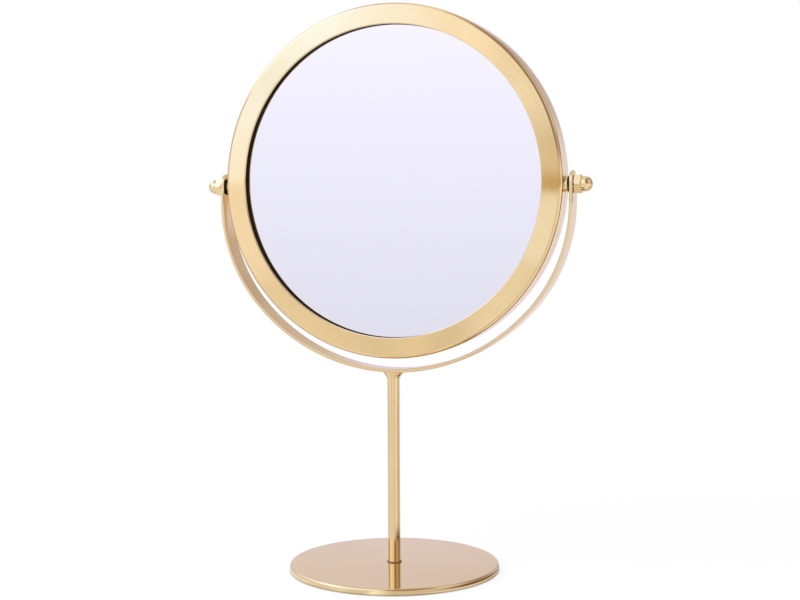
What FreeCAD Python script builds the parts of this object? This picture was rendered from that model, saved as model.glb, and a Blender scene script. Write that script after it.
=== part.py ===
import FreeCAD, Part
import math
import os

# Double-sided swivel vanity mirror on a stem and a round base.
# Millimetres. +Z is up, -Y faces the user and the origin is the centre of the base's underside.
# The head turns in its yoke about an X axis at pivot_height.

Vec = FreeCAD.Vector

# ---------------------------------------------------------------- driving dimensions

# Base
base_diameter = 119.0
base_plate_thickness = 3.1
base_top_round = 1.2
base_bottom_round = 0.8
pad_margin = 4.5
pad_thickness = 0.8
pad_recess = 0.3

# Stem
stem_diameter = 7.0
stem_wall = 0.8
foot_washer_diameter = 8.4
foot_washer_thickness = 0.5
insert_length = 16.0
insert_chamfer = 0.4
base_screw_diameter = 4.0
base_screw_head = 8.0
base_screw_engagement = 9.0
base_screw_key = 2.5
base_screw_key_depth = 1.2
flare_height = 4.0
flare_diameter = 12.6
flare_foot_wall = 0.25
flare_edge = 0.3

# Yoke: a flat strip bent to three arcs, with straight arms that end in round tabs
pivot_height = 218.0
strip_width = 12.0
strip_thickness = 2.0
strip_edge_round = 0.5
arm_straight = 9.0
shoulder_angle = 47.5
tab_rise = 7.5

# Mirror head: two pressed bezels over a steel band and a moulded carrier
head_diameter = 200.0
head_rise = 2.4
bezel_face_width = 11.8
bezel_sheet = 0.8
bezel_outer_round = 2.0
bezel_lip_round = 0.5
bezel_lip_depth = 1.3
seam_gap = 0.3
band_thickness = 0.9
glass_lap = 4.3
glass_thickness = 2.0
glass_edge_bevel = 0.3
glass_recess = 4.0
magnifying_radius = 1300.0
glass_gap = 1.7
carrier_ledge = 3.0
backing_inset = 1.5

# Pivots: a stud through the band on each side, with a nut inside and an acorn nut outside
stud_diameter = 5.0
stud_chamfer = 0.5
lock_nut_flats = 8.0
lock_nut_thickness = 2.4
stud_tail = 0.4
collar_diameter = 9.0
collar_length = 1.9
collar_round = 0.6
washer_diameter = 9.4
washer_thickness = 0.8
cap_nut_flats = 10.0
cap_nut_hex_height = 3.8
cap_nut_height = 9.7
cap_nut_dome_diameter = 8.4
cap_nut_bore_depth = 6.6
cap_nut_tip_gap = 0.6
cap_nut_chamfer_angle = 30.0

# Clearances
running_clearance = 0.08
seat_clearance = 0.05
face_clearance = 0.3
swing_clearance = 0.9
glass_clearance = 0.3
pocket_clearance = 0.15

# ---------------------------------------------------------------- sizes that follow

base_radius = base_diameter / 2
pad_radius = base_radius - pad_margin
plate_bottom = pad_thickness - pad_recess
base_top = plate_bottom + base_plate_thickness
stem_foot = base_top + foot_washer_thickness
stem_radius = stem_diameter / 2
stem_bore_radius = stem_radius - stem_wall
tapped_radius = base_screw_diameter / 2 + seat_clearance

head_radius = head_diameter / 2
head_height = pivot_height + head_rise
opening_radius = head_radius - bezel_face_width
glass_radius = opening_radius + glass_lap

# Both glasses, the hollow of the magnifying one and the gap behind it set the head's thickness.
magnifying_depth = magnifying_radius - math.sqrt(magnifying_radius ** 2 - glass_radius ** 2)
head_half = glass_recess + glass_thickness + (magnifying_depth + glass_gap) / 2
glass_front = head_half - glass_recess
glass_rear = glass_front - glass_thickness

bezel_lip_end = head_half - bezel_lip_depth
bezel_lip_outer = opening_radius + bezel_sheet
face_inside = head_half - bezel_sheet
skirt_inside = head_radius - bezel_sheet
band_outer = skirt_inside - seat_clearance
band_inner = band_outer - band_thickness
face_bend = bezel_outer_round - bezel_sheet
band_half = face_inside - face_bend - face_clearance
ledge_radius = glass_radius - carrier_ledge

stud_radius = stud_diameter / 2
stud_seat_radius = stud_radius + seat_clearance
lock_nut_corner = lock_nut_flats / math.sqrt(3)
lock_nut_drop = head_rise + lock_nut_corner
lock_nut_face = math.sqrt(band_inner ** 2 - lock_nut_drop ** 2) - seat_clearance
lock_nut_back = lock_nut_face - lock_nut_thickness
stud_back = lock_nut_back - stud_tail
collar_face = head_radius + collar_length
washer_face = collar_face + washer_thickness

# The yoke's inner face stands clear of the washers, and its outer face carries the acorn nuts.
yoke_inner_half = washer_face + face_clearance
yoke_half_width = yoke_inner_half + strip_thickness
cap_nut_face = yoke_half_width + face_clearance
stud_end = cap_nut_face + cap_nut_bore_depth - cap_nut_tip_gap

# The rim's far edge sweeps the largest circle when the head turns over.
head_sweep = math.hypot(head_radius + head_rise, head_half)
yoke_drop = head_sweep + swing_clearance + strip_thickness
yoke_bottom = pivot_height - yoke_drop

# The shoulder arcs and the bottom arc meet on a common tangent at shoulder_angle.
tangent = math.radians(shoulder_angle)
arc_start = pivot_height - arm_straight
arc_depth = yoke_drop - arm_straight
centre_spacing = (yoke_half_width - arc_depth) / (math.sin(tangent) + math.cos(tangent) - 1)
shoulder_centre = centre_spacing * math.sin(tangent)
shoulder_radius = yoke_half_width - shoulder_centre
bottom_radius = shoulder_radius + centre_spacing
bottom_centre = yoke_bottom + bottom_radius

ORIGIN = Vec(0, 0, 0)
X_AXIS = Vec(1, 0, 0)
Y_AXIS = Vec(0, 1, 0)
Z_AXIS = Vec(0, 0, 1)


# ---------------------------------------------------------------- outlines

def outline_face(corners):
    """Face in the XY plane inside a closed outline of (x, y, rounding) corners."""
    edges = []
    ends = []
    count = len(corners)
    for index in range(count):
        x, y, rounding = corners[index]
        corner = Vec(x, y, 0)
        before = Vec(*corners[index - 1][:2], 0) - corner
        after = Vec(*corners[(index + 1) % count][:2], 0) - corner
        before.normalize()
        after.normalize()
        if rounding == 0:
            ends.append((corner, corner))
            continue
        half = before.getAngle(after) / 2
        reach = rounding / math.tan(half)
        bisector = (before + after).normalize()
        middle = corner + bisector * (rounding / math.sin(half) - rounding)
        start = corner + before * reach
        end = corner + after * reach
        edges.append(Part.Arc(start, middle, end).toShape())
        ends.append((start, end))
    for index in range(count):
        start = ends[index - 1][1]
        end = ends[index][0]
        if not start.isEqual(end, 1e-6):
            edges.append(Part.makeLine(start, end))
    return Part.Face(Part.Wire(Part.__sortEdges__(edges)))


def turned_about_stem(corners):
    """Solid of revolution about Z from (radius, height, rounding) corners."""
    solid = outline_face(corners).revolve(ORIGIN, Y_AXIS, 360)
    return solid.rotate(ORIGIN, X_AXIS, 90)


def turned_about_head(corners):
    """Solid of revolution about the head's axis from (radius, y, rounding) corners."""
    solid = outline_face(corners).revolve(ORIGIN, Y_AXIS, 360)
    return solid.translated(Vec(0, 0, head_height))


def turned_about_pivot(corners):
    """Solid of revolution about the +X pivot from (x, radius, rounding) corners."""
    solid = outline_face(corners).revolve(ORIGIN, X_AXIS, 360)
    return solid.translated(Vec(0, 0, pivot_height))


def arc_from_below(centre_x, centre_z, radius, start, end):
    """Arc in the XZ plane between two angles measured from straight down."""
    points = []
    for angle in (start, (start + end) / 2, end):
        x = centre_x + radius * math.sin(angle)
        points.append(Vec(x, 0, centre_z - radius * math.cos(angle)))
    return Part.Arc(*points).toShape()


def hex_bar(flats, length):
    """Hexagonal bar along +X from the origin, with two corners level with its axis."""
    corner = flats / math.sqrt(3)
    points = []
    for side in range(7):
        angle = math.radians(60 * side)
        points.append(Vec(0, corner * math.cos(angle), corner * math.sin(angle)))
    return Part.Face(Part.makePolygon(points)).extrude(Vec(length, 0, 0))


def pivot_rod(radius, start, end):
    """Cylinder on the pivot axis between two x positions."""
    return Part.makeCylinder(radius, end - start, Vec(start, 0, pivot_height), X_AXIS)


def on_pivot(shape, x):
    """The shape carried from the origin to a position on the pivot axis."""
    return shape.translated(Vec(x, 0, pivot_height))


def left_hand(shape):
    """The same piece at the -X pivot."""
    return shape.mirror(ORIGIN, X_AXIS)


def facing_back(shape):
    """The same piece on the back of the head."""
    return shape.mirror(ORIGIN, Y_AXIS)


# ---------------------------------------------------------------- base

def make_base_plate():
    """Steel disc with a rounded rim, a recess for the pad and a countersunk hole."""
    recess = pad_radius + pocket_clearance
    hole = base_screw_diameter / 2 + running_clearance
    sink = base_screw_head / 2 + running_clearance
    return turned_about_stem([
        (hole, base_top, 0),
        (base_radius, base_top, base_top_round),
        (base_radius, plate_bottom, base_bottom_round),
        (recess, plate_bottom, 0),
        (recess, pad_thickness, 0),
        (sink, pad_thickness, 0),
        (hole, pad_thickness + sink - hole, 0),
    ])


def make_base_pad():
    """Foam disc that the mirror stands on; it also hides the screw."""
    return Part.makeCylinder(pad_radius, pad_thickness)


def make_base_screw():
    """Countersunk socket screw, up through the plate into the stem's insert."""
    shank = base_screw_diameter / 2
    head = base_screw_head / 2
    top = stem_foot + base_screw_engagement
    screw = turned_about_stem([
        (0, pad_thickness, 0),
        (head, pad_thickness, 0),
        (shank, pad_thickness + head - shank, 0),
        (shank, top, 0),
        (0, top, 0),
    ])
    key = hex_bar(base_screw_key, base_screw_key_depth).rotate(ORIGIN, Y_AXIS, -90)
    return screw.cut(key.translated(Vec(0, 0, pad_thickness)))


# ---------------------------------------------------------------- stem

def above_underside():
    """Everything above the bottom arc of the yoke's outer face."""
    reach = flare_diameter
    return Part.makeCylinder(bottom_radius, 2 * reach, Vec(0, -reach, bottom_centre), Y_AXIS)


def make_foot_washer():
    """Thin dark ring between the plate and the stem."""
    edge = foot_washer_diameter / 2
    hole = base_screw_diameter / 2 + running_clearance
    return turned_about_stem([
        (hole, base_top, 0), (edge, base_top, 0), (edge, stem_foot, 0), (hole, stem_foot, 0)])


def make_stem_tube():
    """Round tube whose top is cut to the curve of the yoke."""
    top = yoke_bottom + flare_height
    tube = turned_about_stem([
        (stem_bore_radius, stem_foot, 0),
        (stem_radius, stem_foot, 0),
        (stem_radius, top, 0),
        (stem_bore_radius, top, 0),
    ])
    return tube.cut(above_underside())


def make_stem_insert():
    """Tapped plug fixed in the foot of the tube."""
    plug = stem_bore_radius - seat_clearance
    top = stem_foot + insert_length
    return turned_about_stem([
        (tapped_radius, stem_foot, 0),
        (plug, stem_foot, 0),
        (plug, top - insert_chamfer, 0),
        (plug - insert_chamfer, top, 0),
        (tapped_radius, top, 0),
    ])


def make_stem_flare():
    """Trumpet-shaped collar, cut to the curve of the yoke, that spreads the weld."""
    inner = stem_radius + seat_clearance
    foot = inner + flare_foot_wall
    rim = flare_diameter / 2
    foot_z = yoke_bottom - flare_height
    rim_z = yoke_bottom - flare_edge
    top_z = yoke_bottom + flare_edge
    halfway = math.sin(math.pi / 4)
    belly = Vec(rim - (rim - foot) * halfway, 0, foot_z + (rim_z - foot_z) * halfway)
    corners = [
        Vec(foot, 0, foot_z),
        Vec(inner, 0, foot_z),
        Vec(inner, 0, top_z),
        Vec(rim, 0, top_z),
        Vec(rim, 0, rim_z),
    ]
    edges = [Part.makeLine(corners[i], corners[i + 1]) for i in range(len(corners) - 1)]
    edges.append(Part.Arc(corners[-1], belly, corners[0]).toShape())
    flare = Part.Face(Part.Wire(edges)).revolve(ORIGIN, Z_AXIS, 360)
    return flare.cut(above_underside())


# ---------------------------------------------------------------- yoke

def strip_face_edges(offset, top):
    """Edges of one face of the bent strip, at a distance inside its outer face."""
    half = yoke_half_width - offset
    shoulder = shoulder_radius - offset
    side = math.pi / 2
    return [
        Part.makeLine(Vec(-half, 0, top), Vec(-half, 0, arc_start)),
        arc_from_below(-shoulder_centre, arc_start, shoulder, -side, -tangent),
        arc_from_below(0, bottom_centre, bottom_radius - offset, -tangent, tangent),
        arc_from_below(shoulder_centre, arc_start, shoulder, tangent, side),
        Part.makeLine(Vec(half, 0, arc_start), Vec(half, 0, top)),
    ]


def make_yoke_hoop():
    """Half hoop of flat strip with rounded edges, round tabs and a hole at each end."""
    top = pivot_height + tab_rise
    edges = strip_face_edges(0, top) + strip_face_edges(strip_thickness, top)
    for side in (-1, 1):
        outer = Vec(side * yoke_half_width, 0, top)
        edges.append(Part.makeLine(outer, Vec(side * yoke_inner_half, 0, top)))
    profile = Part.Face(Part.Wire(Part.__sortEdges__(edges)))
    strip = profile.translated(Vec(0, -strip_width / 2, 0)).extrude(Vec(0, strip_width, 0))

    # A plate with a round end, as wide as the strip, gives the tabs their shape.
    end_radius = strip_width / 2
    span = 2 * yoke_half_width + 2 * strip_thickness
    end_centre = Vec(-span / 2, 0, top - end_radius)
    round_end = Part.makeCylinder(end_radius, span, end_centre, X_AXIS)
    plate = Part.makeBox(span, strip_width, top - end_radius, Vec(-span / 2, -end_radius, 0))
    strip = strip.common(plate.fuse(round_end).removeSplitter())

    long_edges = [edge for edge in strip.Edges if edge.Length > 2 * strip_thickness]
    strip = strip.makeFillet(strip_edge_round, long_edges)
    hole = stud_radius + running_clearance
    return strip.cut(pivot_rod(hole, -span / 2, span / 2))


# ---------------------------------------------------------------- mirror head

def stud_holes(radius, start):
    """Cutters for both studs, outwards from a distance along the pivot axis."""
    right = pivot_rod(radius, start, yoke_half_width)
    return right.fuse(left_hand(right))


def make_front_bezel():
    """Pressed ring: skirt, flat face and a lip turned back into the opening."""
    face = -head_half
    seam = -seam_gap / 2
    bezel = turned_about_head([
        (head_radius, seam, 0),
        (head_radius, face, bezel_outer_round),
        (opening_radius, face, bezel_lip_round),
        (opening_radius, -bezel_lip_end, 0),
        (bezel_lip_outer, -bezel_lip_end, 0),
        (bezel_lip_outer, -face_inside, 0),
        (skirt_inside, -face_inside, face_bend),
        (skirt_inside, seam, 0),
    ])
    return bezel.cut(stud_holes(stud_seat_radius, glass_radius))


def make_rim_band():
    """Steel hoop behind the seam that both skirts press onto; it carries the studs."""
    band = turned_about_head([
        (band_inner, -band_half, 0),
        (band_outer, -band_half, 0),
        (band_outer, band_half, 0),
        (band_inner, band_half, 0),
    ])
    return band.cut(stud_holes(stud_seat_radius, glass_radius))


def dish_height(radius):
    """Height of the magnifying glass's hollow face at a radius."""
    bottom = glass_front - magnifying_depth
    return bottom + magnifying_radius - math.sqrt(magnifying_radius ** 2 - radius ** 2)


def dish_arc(radius, offset):
    """Section of the hollow face from the axis to a radius, moved back by an offset."""
    points = []
    for share in (0, 0.5, 1):
        points.append(Vec(radius * share, dish_height(radius * share) - offset, 0))
    return Part.Arc(*points).toShape()


def make_front_glass():
    """Flat mirror disc with bevelled edges."""
    edge = glass_radius
    bevel = glass_edge_bevel
    return turned_about_head([
        (0, -glass_rear, 0),
        (edge - bevel, -glass_rear, 0),
        (edge, -glass_rear - bevel, 0),
        (edge, -glass_front + bevel, 0),
        (edge - bevel, -glass_front, 0),
        (0, -glass_front, 0),
    ])


def make_back_glass():
    """Magnifying mirror disc, hollow towards the back and of even thickness."""
    hollow = dish_arc(glass_radius, 0)
    reverse = dish_arc(glass_radius, glass_thickness)
    centre = Part.makeLine(hollow.valueAt(hollow.FirstParameter), reverse.valueAt(reverse.FirstParameter))
    rim = Part.makeLine(Vec(glass_radius, glass_front, 0), Vec(glass_radius, glass_rear, 0))
    section = Part.Face(Part.Wire(Part.__sortEdges__([hollow, reverse, centre, rim])))
    disc = section.revolve(ORIGIN, Y_AXIS, 360)
    return disc.translated(Vec(0, 0, head_height))


def make_front_gasket():
    """Black ring between the face and the glass; it lines the opening below the lip."""
    inner = opening_radius + seat_clearance
    step = bezel_lip_outer + seat_clearance
    below_lip = bezel_lip_end - seat_clearance
    under_face = face_inside - seat_clearance
    on_glass = glass_front + seat_clearance
    return turned_about_head([
        (inner, -on_glass, 0),
        (inner, -below_lip, 0),
        (step, -below_lip, 0),
        (step, -under_face, 0),
        (glass_radius, -under_face, 0),
        (glass_radius, -on_glass, 0),
    ])


def make_carrier_ring():
    """Moulded ring whose ledge holds both glasses apart, with pockets for the lock nuts."""
    edge = band_inner - seat_clearance
    bore = glass_radius + glass_clearance
    end = face_inside - seat_clearance
    front_ledge = -glass_rear + seat_clearance
    back_rim = glass_rear - seat_clearance
    back_ledge = dish_height(ledge_radius) - glass_thickness - seat_clearance
    carrier = turned_about_head([
        (edge, -end, 0),
        (edge, end, 0),
        (bore, end, 0),
        (bore, back_rim, 0),
        (glass_radius, back_rim, 0),
        (ledge_radius, back_ledge, 0),
        (ledge_radius, front_ledge, 0),
        (bore, front_ledge, 0),
        (bore, -end, 0),
    ])
    floor = lock_nut_back - pocket_clearance
    pocket = on_pivot(hex_bar(lock_nut_flats + 2 * pocket_clearance, band_outer - floor), floor)
    tail = pivot_rod(stud_radius + pocket_clearance, stud_back - pocket_clearance, band_outer)
    cutter = pocket.fuse(tail)
    return carrier.cut(cutter).cut(left_hand(cutter))


def make_backing_disc():
    """Foam disc that fills the space between the two glasses inside the ledge."""
    radius = ledge_radius - backing_inset
    flat = -glass_rear + seat_clearance
    dish = dish_arc(radius, glass_thickness + seat_clearance)
    centre_point = dish.valueAt(dish.FirstParameter)
    rim_point = dish.valueAt(dish.LastParameter)
    edges = [
        dish,
        Part.makeLine(rim_point, Vec(radius, flat, 0)),
        Part.makeLine(Vec(radius, flat, 0), Vec(0, flat, 0)),
        Part.makeLine(Vec(0, flat, 0), centre_point),
    ]
    disc = Part.Face(Part.Wire(edges)).revolve(ORIGIN, Y_AXIS, 360)
    return disc.translated(Vec(0, 0, head_height))


# ---------------------------------------------------------------- pivots, on the +X side

def make_pivot_stud():
    """Threaded rod from the lock nut out into the acorn nut."""
    return turned_about_pivot([
        (stud_back, 0, 0),
        (stud_back, stud_radius - stud_chamfer, 0),
        (stud_back + stud_chamfer, stud_radius, 0),
        (stud_end - stud_chamfer, stud_radius, 0),
        (stud_end, stud_radius - stud_chamfer, 0),
        (stud_end, 0, 0),
    ])


def make_lock_nut():
    """Thin hexagon nut against the inside of the band."""
    nut = on_pivot(hex_bar(lock_nut_flats, lock_nut_thickness), lock_nut_back)
    return nut.cut(pivot_rod(stud_seat_radius, lock_nut_back, lock_nut_face))


def make_pivot_collar():
    """Rounded spacer whose inner end is cut to the curve of the skirts."""
    radius = collar_diameter / 2
    collar = turned_about_pivot([
        (skirt_inside, stud_seat_radius, 0),
        (skirt_inside, radius, 0),
        (collar_face, radius, collar_round),
        (collar_face, stud_seat_radius, 0),
    ])
    skirt = head_radius + seat_clearance
    rim = Part.makeCylinder(skirt, 2 * head_half, Vec(0, -head_half, head_height), Y_AXIS)
    return collar.cut(rim)


def make_friction_washer():
    """Black washer that drags on the inside of the yoke."""
    radius = washer_diameter / 2
    return turned_about_pivot([
        (collar_face, stud_seat_radius, 0),
        (collar_face, radius, 0),
        (washer_face, radius, 0),
        (washer_face, stud_seat_radius, 0),
    ])


def make_acorn_nut():
    """Hexagon with chamfered corners under a round dome, over a blind bore."""
    dome_x = cap_nut_face + cap_nut_hex_height
    tip_x = cap_nut_face + cap_nut_height
    flat = cap_nut_flats / 2
    corner = cap_nut_flats / math.sqrt(3)
    chamfer = (corner - flat) * math.tan(math.radians(cap_nut_chamfer_angle))
    chamfered_bar = turned_about_pivot([
        (cap_nut_face, 0, 0),
        (cap_nut_face, flat, 0),
        (cap_nut_face + chamfer, corner, 0),
        (dome_x - chamfer, corner, 0),
        (dome_x, flat, 0),
        (dome_x, 0, 0),
    ])
    hexagon = on_pivot(hex_bar(cap_nut_flats, cap_nut_hex_height), cap_nut_face)
    dome_radius = cap_nut_dome_diameter / 2
    dome = turned_about_pivot([
        (dome_x, 0, 0),
        (dome_x, dome_radius, 0),
        (tip_x, dome_radius, dome_radius),
        (tip_x, 0, 0),
    ])
    bore = pivot_rod(stud_seat_radius, cap_nut_face, cap_nut_face + cap_nut_bore_depth)
    return hexagon.common(chamfered_bar).fuse(dome).cut(bore)


# ---------------------------------------------------------------- assembly

front_bezel = make_front_bezel()
front_gasket = make_front_gasket()

pieces = {
    "base_plate": make_base_plate(),
    "base_pad": make_base_pad(),
    "base_screw": make_base_screw(),
    "foot_washer": make_foot_washer(),
    "stem_tube": make_stem_tube(),
    "stem_insert": make_stem_insert(),
    "stem_flare": make_stem_flare(),
    "yoke_hoop": make_yoke_hoop(),
    "front_bezel": front_bezel,
    "back_bezel": facing_back(front_bezel),
    "rim_band": make_rim_band(),
    "carrier_ring": make_carrier_ring(),
    "front_glass": make_front_glass(),
    "back_glass": make_back_glass(),
    "front_gasket": front_gasket,
    "back_gasket": facing_back(front_gasket),
    "backing_disc": make_backing_disc(),
}

pivot_pieces = {
    "pivot_stud": make_pivot_stud(),
    "lock_nut": make_lock_nut(),
    "pivot_collar": make_pivot_collar(),
    "friction_washer": make_friction_washer(),
    "acorn_nut": make_acorn_nut(),
}
for name, shape in pivot_pieces.items():
    pieces[name + "_right"] = shape
    pieces[name + "_left"] = left_hand(shape)

os.makedirs("parts", exist_ok=True)
for name, shape in pieces.items():
    shape.exportStep(os.path.join("parts", name + ".step"))
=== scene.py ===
import math

import bmesh
import bpy
from mathutils import Matrix, Vector


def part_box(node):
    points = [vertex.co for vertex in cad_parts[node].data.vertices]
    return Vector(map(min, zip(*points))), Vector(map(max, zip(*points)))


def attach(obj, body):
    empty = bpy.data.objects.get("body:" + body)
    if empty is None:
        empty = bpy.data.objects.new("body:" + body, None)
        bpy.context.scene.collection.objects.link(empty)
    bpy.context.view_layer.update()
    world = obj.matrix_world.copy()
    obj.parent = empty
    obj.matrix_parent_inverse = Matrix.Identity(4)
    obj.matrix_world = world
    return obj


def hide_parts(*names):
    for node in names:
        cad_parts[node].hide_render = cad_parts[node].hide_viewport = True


# Double-sided swivel vanity mirror on a stem and a round base.
# Sizes are in millimetres, as in the part's source; finished pieces are in metres.
# +Z is up, -Y faces the user and the head turns about an X axis at PIVOT_Z.

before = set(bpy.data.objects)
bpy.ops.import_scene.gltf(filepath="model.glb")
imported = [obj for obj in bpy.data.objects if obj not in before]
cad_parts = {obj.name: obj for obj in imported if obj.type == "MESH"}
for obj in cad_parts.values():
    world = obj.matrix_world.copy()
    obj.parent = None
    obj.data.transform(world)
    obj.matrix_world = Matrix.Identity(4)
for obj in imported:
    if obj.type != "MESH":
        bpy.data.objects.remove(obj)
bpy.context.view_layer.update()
bpy.context.scene.view_settings.view_transform = "Standard"

# ---------------------------------------------------------------- sizes

METRE = 0.001
# Points closer than this are one point.
DOUBLES = 0.0004
# Left off a full rounding, so that its ends don't meet, and added where a cutter clears an edge.
TINY = 0.01
SHARP_ANGLE = math.radians(35)
SHARP_AFTER_CUT = math.radians(20)
HEAD_STEPS = 288
AXES = {"X": Vector((1, 0, 0)), "Y": Vector((0, 1, 0)), "Z": Vector((0, 0, 1))}

BASE_RADIUS = 59.5
BASE_TOP = 3.6
PLATE_BOTTOM = 0.5
PLATE_TOP_ROUND = 1.2
PLATE_BOTTOM_ROUND = 0.8
PAD_RADIUS = 55.0
PAD_TOP = 0.8
PAD_ROUND = 0.2
PAD_POCKET = 0.15
BASE_HOLE = 2.08
SCREW_SINK = 4.08

STEM_RADIUS = 3.5
STEM_BORE = 2.7
FOOT_WASHER_RADIUS = 4.2
FLARE_RADIUS = 6.3
FLARE_FOOT = 3.8
FLARE_HEIGHT = 4.0
FLARE_EDGE = 0.3
FLARE_SLOPE = 3.0
FLARE_BEND = 1.2
FLARE_FLATNESS = 0.25
# The stem and its flare are drawn this far past the yoke's lowest point, then fitted under it.
MEETING_RISE = 1.0

PIVOT_Z = 218.0
STRIP_HALF_WIDTH = 6.0
STRIP_THICKNESS = 2.0
STRIP_ROUND = 0.5
ARC_START = 209.0
TAB_TOP = 225.5
TANGENT = math.radians(47.5)
YOKE_HALF = 105.0
PIVOT_HOLE = 2.58
SHOULDER_STEPS = 40
BOTTOM_STEPS = 96
RIM_ANGLE = math.radians(60)
ARM_JOIN = 0.02

HEAD_Z = 220.4
HEAD_RADIUS = 100.0
OPENING_RADIUS = 88.2
GLASS_RADIUS = 92.5
BEZEL_SHEET = 0.8
BEZEL_OUTER_ROUND = 2.0
BEZEL_LIP_ROUND = 0.5
BEZEL_LIP_DEPTH = 1.3
LIP_END_ROUND = 0.1
SHEET_ROUND = 0.12
HALF_SEAM = 0.15
GLASS_RECESS = 4.0
GLASS_THICKNESS = 2.0
GLASS_BEVEL = 0.3
GLASS_GAP = 1.7
MAGNIFYING_RADIUS = 1300.0
DISH_RINGS = 24
SEAT = 0.05

STUD_HOLE = 2.55
COLLAR_RADIUS = 4.5
COLLAR_FACE = 101.9
COLLAR_ROUND = 0.6
WASHER_RADIUS = 4.7
WASHER_FACE = 102.7
WASHER_ROUND = 0.15
NUT_FACE = 105.3
NUT_FLATS = 10.0
NUT_HEX_HEIGHT = 3.8
NUT_HEIGHT = 9.7
NUT_DOME_RADIUS = 4.2
NUT_BORE_END = 111.9
NUT_CHAMFER = math.radians(30)
# How far the dome and the bore run past the faces that they join or open.
NUT_OVERRUN = 1.0

# Sizes that follow
dish_depth = MAGNIFYING_RADIUS - math.sqrt(MAGNIFYING_RADIUS ** 2 - GLASS_RADIUS ** 2)
head_half = GLASS_RECESS + GLASS_THICKNESS + (dish_depth + GLASS_GAP) / 2
glass_front = head_half - GLASS_RECESS
lip_end = head_half - BEZEL_LIP_DEPTH
face_inside = head_half - BEZEL_SHEET
skirt_inside = HEAD_RADIUS - BEZEL_SHEET
stem_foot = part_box("stem_tube")[0].z / METRE
yoke_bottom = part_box("yoke_hoop")[0].z / METRE
arc_depth = ARC_START - yoke_bottom
centre_spacing = (YOKE_HALF - arc_depth) / (math.sin(TANGENT) + math.cos(TANGENT) - 1)
shoulder_centre = centre_spacing * math.sin(TANGENT)
shoulder_radius = YOKE_HALF - shoulder_centre
bottom_radius = shoulder_radius + centre_spacing
bottom_centre = yoke_bottom + bottom_radius

# ---------------------------------------------------------------- camera

VIEW_PLACE = Vector((0.27562, -0.77476, 0.20964))
VIEW_YAW = -0.33685
VIEW_PITCH = -0.02738
VIEW_ROLL = -0.00493
VIEW_LENS = 65.25
VIEW_SHIFT = -0.075
SENSOR_WIDTH = 36


def set_camera():
    forward = Vector((
        math.sin(VIEW_YAW) * math.cos(VIEW_PITCH),
        math.cos(VIEW_YAW) * math.cos(VIEW_PITCH),
        math.sin(VIEW_PITCH),
    ))
    level = Vector((math.cos(VIEW_YAW), -math.sin(VIEW_YAW), 0))
    upright = level.cross(forward)
    across = level * math.cos(VIEW_ROLL) + upright * math.sin(VIEW_ROLL)
    up = upright * math.cos(VIEW_ROLL) - level * math.sin(VIEW_ROLL)
    data = bpy.data.cameras.new("viewpoint")
    data.sensor_width = SENSOR_WIDTH
    data.lens = VIEW_LENS
    data.shift_y = VIEW_SHIFT
    camera = bpy.data.objects.new("viewpoint", data)
    axes = Matrix((across, up, -forward)).transposed()
    camera.matrix_world = Matrix.Translation(VIEW_PLACE) @ axes.to_4x4()
    bpy.context.scene.collection.objects.link(camera)
    bpy.context.scene.camera = camera


set_camera()

# ---------------------------------------------------------------- shaping tools


def piece_from(bm, name):
    """Object in metres from a mesh in millimetres, shaded smooth up to its sharp edges."""
    bmesh.ops.remove_doubles(bm, verts=bm.verts, dist=DOUBLES)
    bmesh.ops.recalc_face_normals(bm, faces=bm.faces)
    bmesh.ops.scale(bm, vec=(METRE, METRE, METRE), verts=bm.verts)
    mesh = bpy.data.meshes.new(name)
    bm.to_mesh(mesh)
    bm.free()
    mesh.shade_smooth()
    mesh.set_sharp_from_angle(angle=SHARP_ANGLE)
    piece = bpy.data.objects.new(name, mesh)
    bpy.context.scene.collection.objects.link(piece)
    return piece


def add_outline(bm, corners, segments=5):
    """Flat face through (point, rounding) corners."""
    verts = [bm.verts.new(point) for point, rounding in corners]
    bm.faces.new(verts)
    for vert, (point, rounding) in zip(verts, corners):
        if rounding:
            bmesh.ops.bevel(
                bm, geom=[vert], offset=rounding, offset_type="OFFSET", segments=segments,
                profile=0.5, affect="VERTICES", material=-1)


def turned_mesh(corners, axis, steps, segments=5):
    """Mesh of revolution about an axis through the origin, from its half section.

    A corner is (radius, height, rounding) about Z, (radius, depth, rounding) about Y and
    (place along the axis, radius, rounding) about X.
    """
    bm = bmesh.new()
    line = AXES[axis]
    section = []
    for u, v, rounding in corners:
        point = (u, v, 0) if axis == "Y" else (u, 0, v)
        section.append((point, rounding))
    add_outline(bm, section, segments)
    bmesh.ops.delete(bm, geom=bm.faces[:], context="FACES_ONLY")
    on_axis = []
    for edge in bm.edges:
        if all(vert.co.cross(line).length < DOUBLES for vert in edge.verts):
            on_axis.append(edge)
    bmesh.ops.delete(bm, geom=on_axis, context="EDGES")
    bmesh.ops.spin(
        bm, geom=bm.verts[:] + bm.edges[:], cent=(0, 0, 0), axis=line,
        angle=2 * math.pi, steps=steps, use_merge=True)
    return bm


def turned_about_stem(name, corners, steps, segments):
    return piece_from(turned_mesh(corners, "Z", steps, segments), name)


def turned_about_head(name, corners, segments=6):
    bm = turned_mesh(corners, "Y", HEAD_STEPS, segments)
    bmesh.ops.translate(bm, vec=(0, 0, HEAD_Z), verts=bm.verts)
    return piece_from(bm, name)


def turned_about_pivot(name, corners, steps=64, segments=5):
    bm = turned_mesh(corners, "X", steps, segments)
    bmesh.ops.translate(bm, vec=(0, 0, PIVOT_Z), verts=bm.verts)
    return piece_from(bm, name)


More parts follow.
